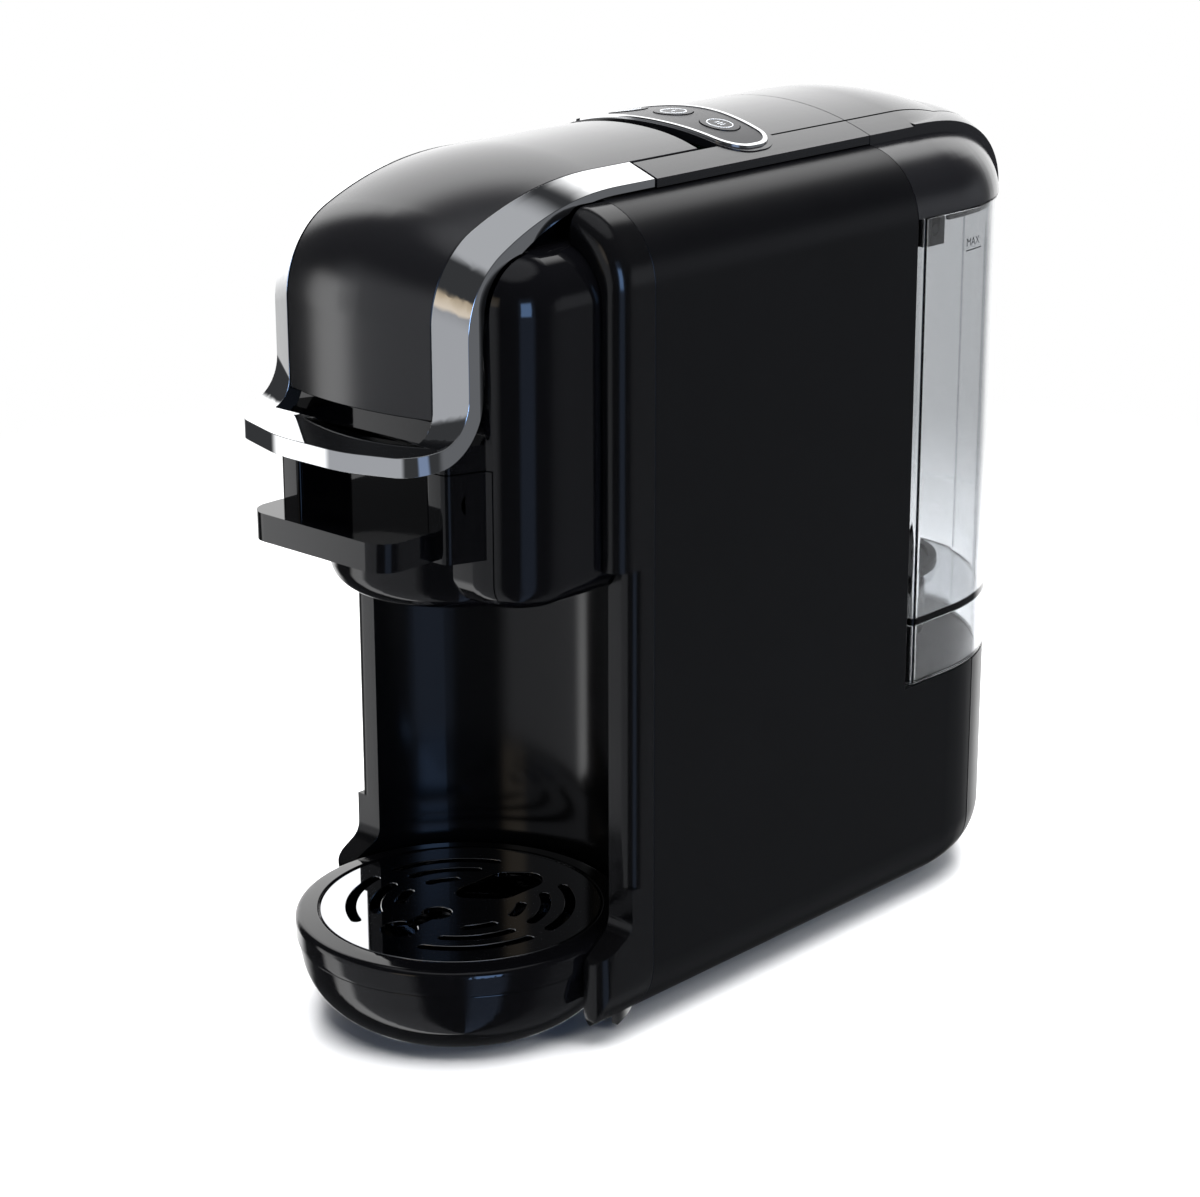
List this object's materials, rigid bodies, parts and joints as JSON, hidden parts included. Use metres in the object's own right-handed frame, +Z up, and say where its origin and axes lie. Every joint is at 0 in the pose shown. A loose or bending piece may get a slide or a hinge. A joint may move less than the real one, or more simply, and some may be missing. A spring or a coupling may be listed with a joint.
{
  "type": "pod coffee machine",
  "caption": "Narrow upright pod coffee machine with a lever press head, capsule drawer, round drip bowl with grate, and a clear lift-off water tank at the rear",
  "frame": {"origin": "centre of the machine's box, on the surface that its feet stand on", "axes": "+Z up, -Y towards the user at the cup side, +X to the right of the machine as seen from the cup side"},
  "size_m": [0.127, 0.305, 0.2822],
  "materials": {
    "gloss_black": "moulded ABS, high gloss",
    "satin_black": "moulded ABS, fine satin",
    "chrome_handle": "bright chrome plating",
    "panel_grey": "dark grey panel with pale printed rings",
    "grate_black": "polished black grate",
    "clear_tank": "clear moulded SAN",
    "inner_black": "moulded black plastic",
    "rubber": "soft black rubber",
    "silicone_hose": "milky silicone",
    "steel": "bright steel",
    "cast_aluminium": "die-cast aluminium",
    "coil_wrap": "wound coil in a dark wrap",
    "circuit_board": "green circuit board"
  },
  "bodies": {
    "housing": {"base_plate": "inner_black", "base_screws": "steel", "board_bracket": "steel", "boiler_bracket": "steel", "brew_guide": "inner_black", "button_board": "circuit_board", "cable_gland": "inner_black", "control_board": "circuit_board", "control_panel": "panel_grey", "control_panel_trim": "chrome_handle", "feet": "rubber", "flow_meter": "inner_black", "front_frame": "gloss_black", "guide_cap": "inner_black", "head_housing": "gloss_black", "hose_boiler": "silicone_hose", "hose_head": "silicone_hose", "hose_pump": "silicone_hose", "hose_tank": "silicone_hose", "inner_chassis": "inner_black", "lever_axle": "steel", "micro_switch": "inner_black", "pump_body": "inner_black", "pump_coil": "coil_wrap", "pump_mounts": "rubber", "pump_outlet": "inner_black", "rear_panel": "gloss_black", "side_panel_left": "satin_black", "side_panel_right": "satin_black", "tank_seat": "inner_black", "tank_seat_seal": "rubber", "thermoblock": "cast_aluminium", "thermostats": "steel", "top_cover": "gloss_black"},
    "lever": {"handle": "chrome_handle", "lever_cover": "gloss_black", "lever_frame": "inner_black", "lever_screws": "steel"},
    "piston": {"brew_piston": "cast_aluminium", "piston_gasket": "rubber", "needle_plate": "steel", "piston_spring": "steel"},
    "drawer": {"capsule_drawer": "gloss_black", "cup_insert": "inner_black", "outlet_spout": "gloss_black"},
    "drip_tray": {"drip_bowl": "gloss_black", "drip_rim": "gloss_black"},
    "grate": {"drip_grate": "grate_black"},
    "cold_button": {"button_cold": "panel_grey"},
    "power_button": {"button_power": "panel_grey"},
    "hot_button": {"button_hot": "panel_grey"},
    "tank": {"water_tank": "clear_tank", "tank_lugs": "inner_black", "tank_outlet": "inner_black", "valve_stop": "inner_black", "tank_filter": "inner_black"},
    "lid": {"tank_lid": "gloss_black", "lid_hooks": "inner_black"},
    "valve": {"valve_plunger": "inner_black", "valve_spring": "steel"}
  },
  "joints": [
    {"name": "lever_hinge", "type": "hinge", "parent": "housing", "child": "lever", "pos_m": [0, 0.014, 0.263], "axis": [-1, 0, 0], "range_deg": [0, 50]},
    {"name": "piston_slide", "type": "slide", "parent": "housing", "child": "piston", "axis": [0, 0, 1], "range_m": [0, 0.012], "deforming": ["piston_spring"]},
    {"name": "drawer_slide", "type": "slide", "parent": "housing", "child": "drawer", "axis": [0, -1, 0], "range_m": [0, 0.11]},
    {"name": "tray_slide", "type": "slide", "parent": "housing", "child": "drip_tray", "axis": [0, -1, 0], "range_m": [0, 0.12]},
    {"name": "grate_lift", "type": "slide", "parent": "drip_tray", "child": "grate", "axis": [0, 0, 1], "range_m": [0, 0.06]},
    {"name": "cold_press", "type": "slide", "parent": "housing", "child": "cold_button", "axis": [0, 0, -1], "range_m": [0, 0.001], "stiffness_N_per_m": 400},
    {"name": "power_press", "type": "slide", "parent": "housing", "child": "power_button", "axis": [0, 0, -1], "range_m": [0, 0.001], "stiffness_N_per_m": 400},
    {"name": "hot_press", "type": "slide", "parent": "housing", "child": "hot_button", "axis": [0, 0, -1], "range_m": [0, 0.001], "stiffness_N_per_m": 400},
    {"name": "tank_lift", "type": "slide", "parent": "housing", "child": "tank", "axis": [0, 0, 1], "range_m": [0, 0.17]},
    {"name": "lid_lift", "type": "slide", "parent": "tank", "child": "lid", "axis": [0, 0, 1], "range_m": [0, 0.06]},
    {"name": "valve_lift", "type": "slide", "parent": "tank", "child": "valve", "axis": [0, 0, 1], "range_m": [0, 0.003], "deforming": ["valve_spring"]}
  ],
  "couplings": [
    {"joint": "piston_slide", "follows": "lever_hinge", "m_per_rad": 0.01375}
  ]
}
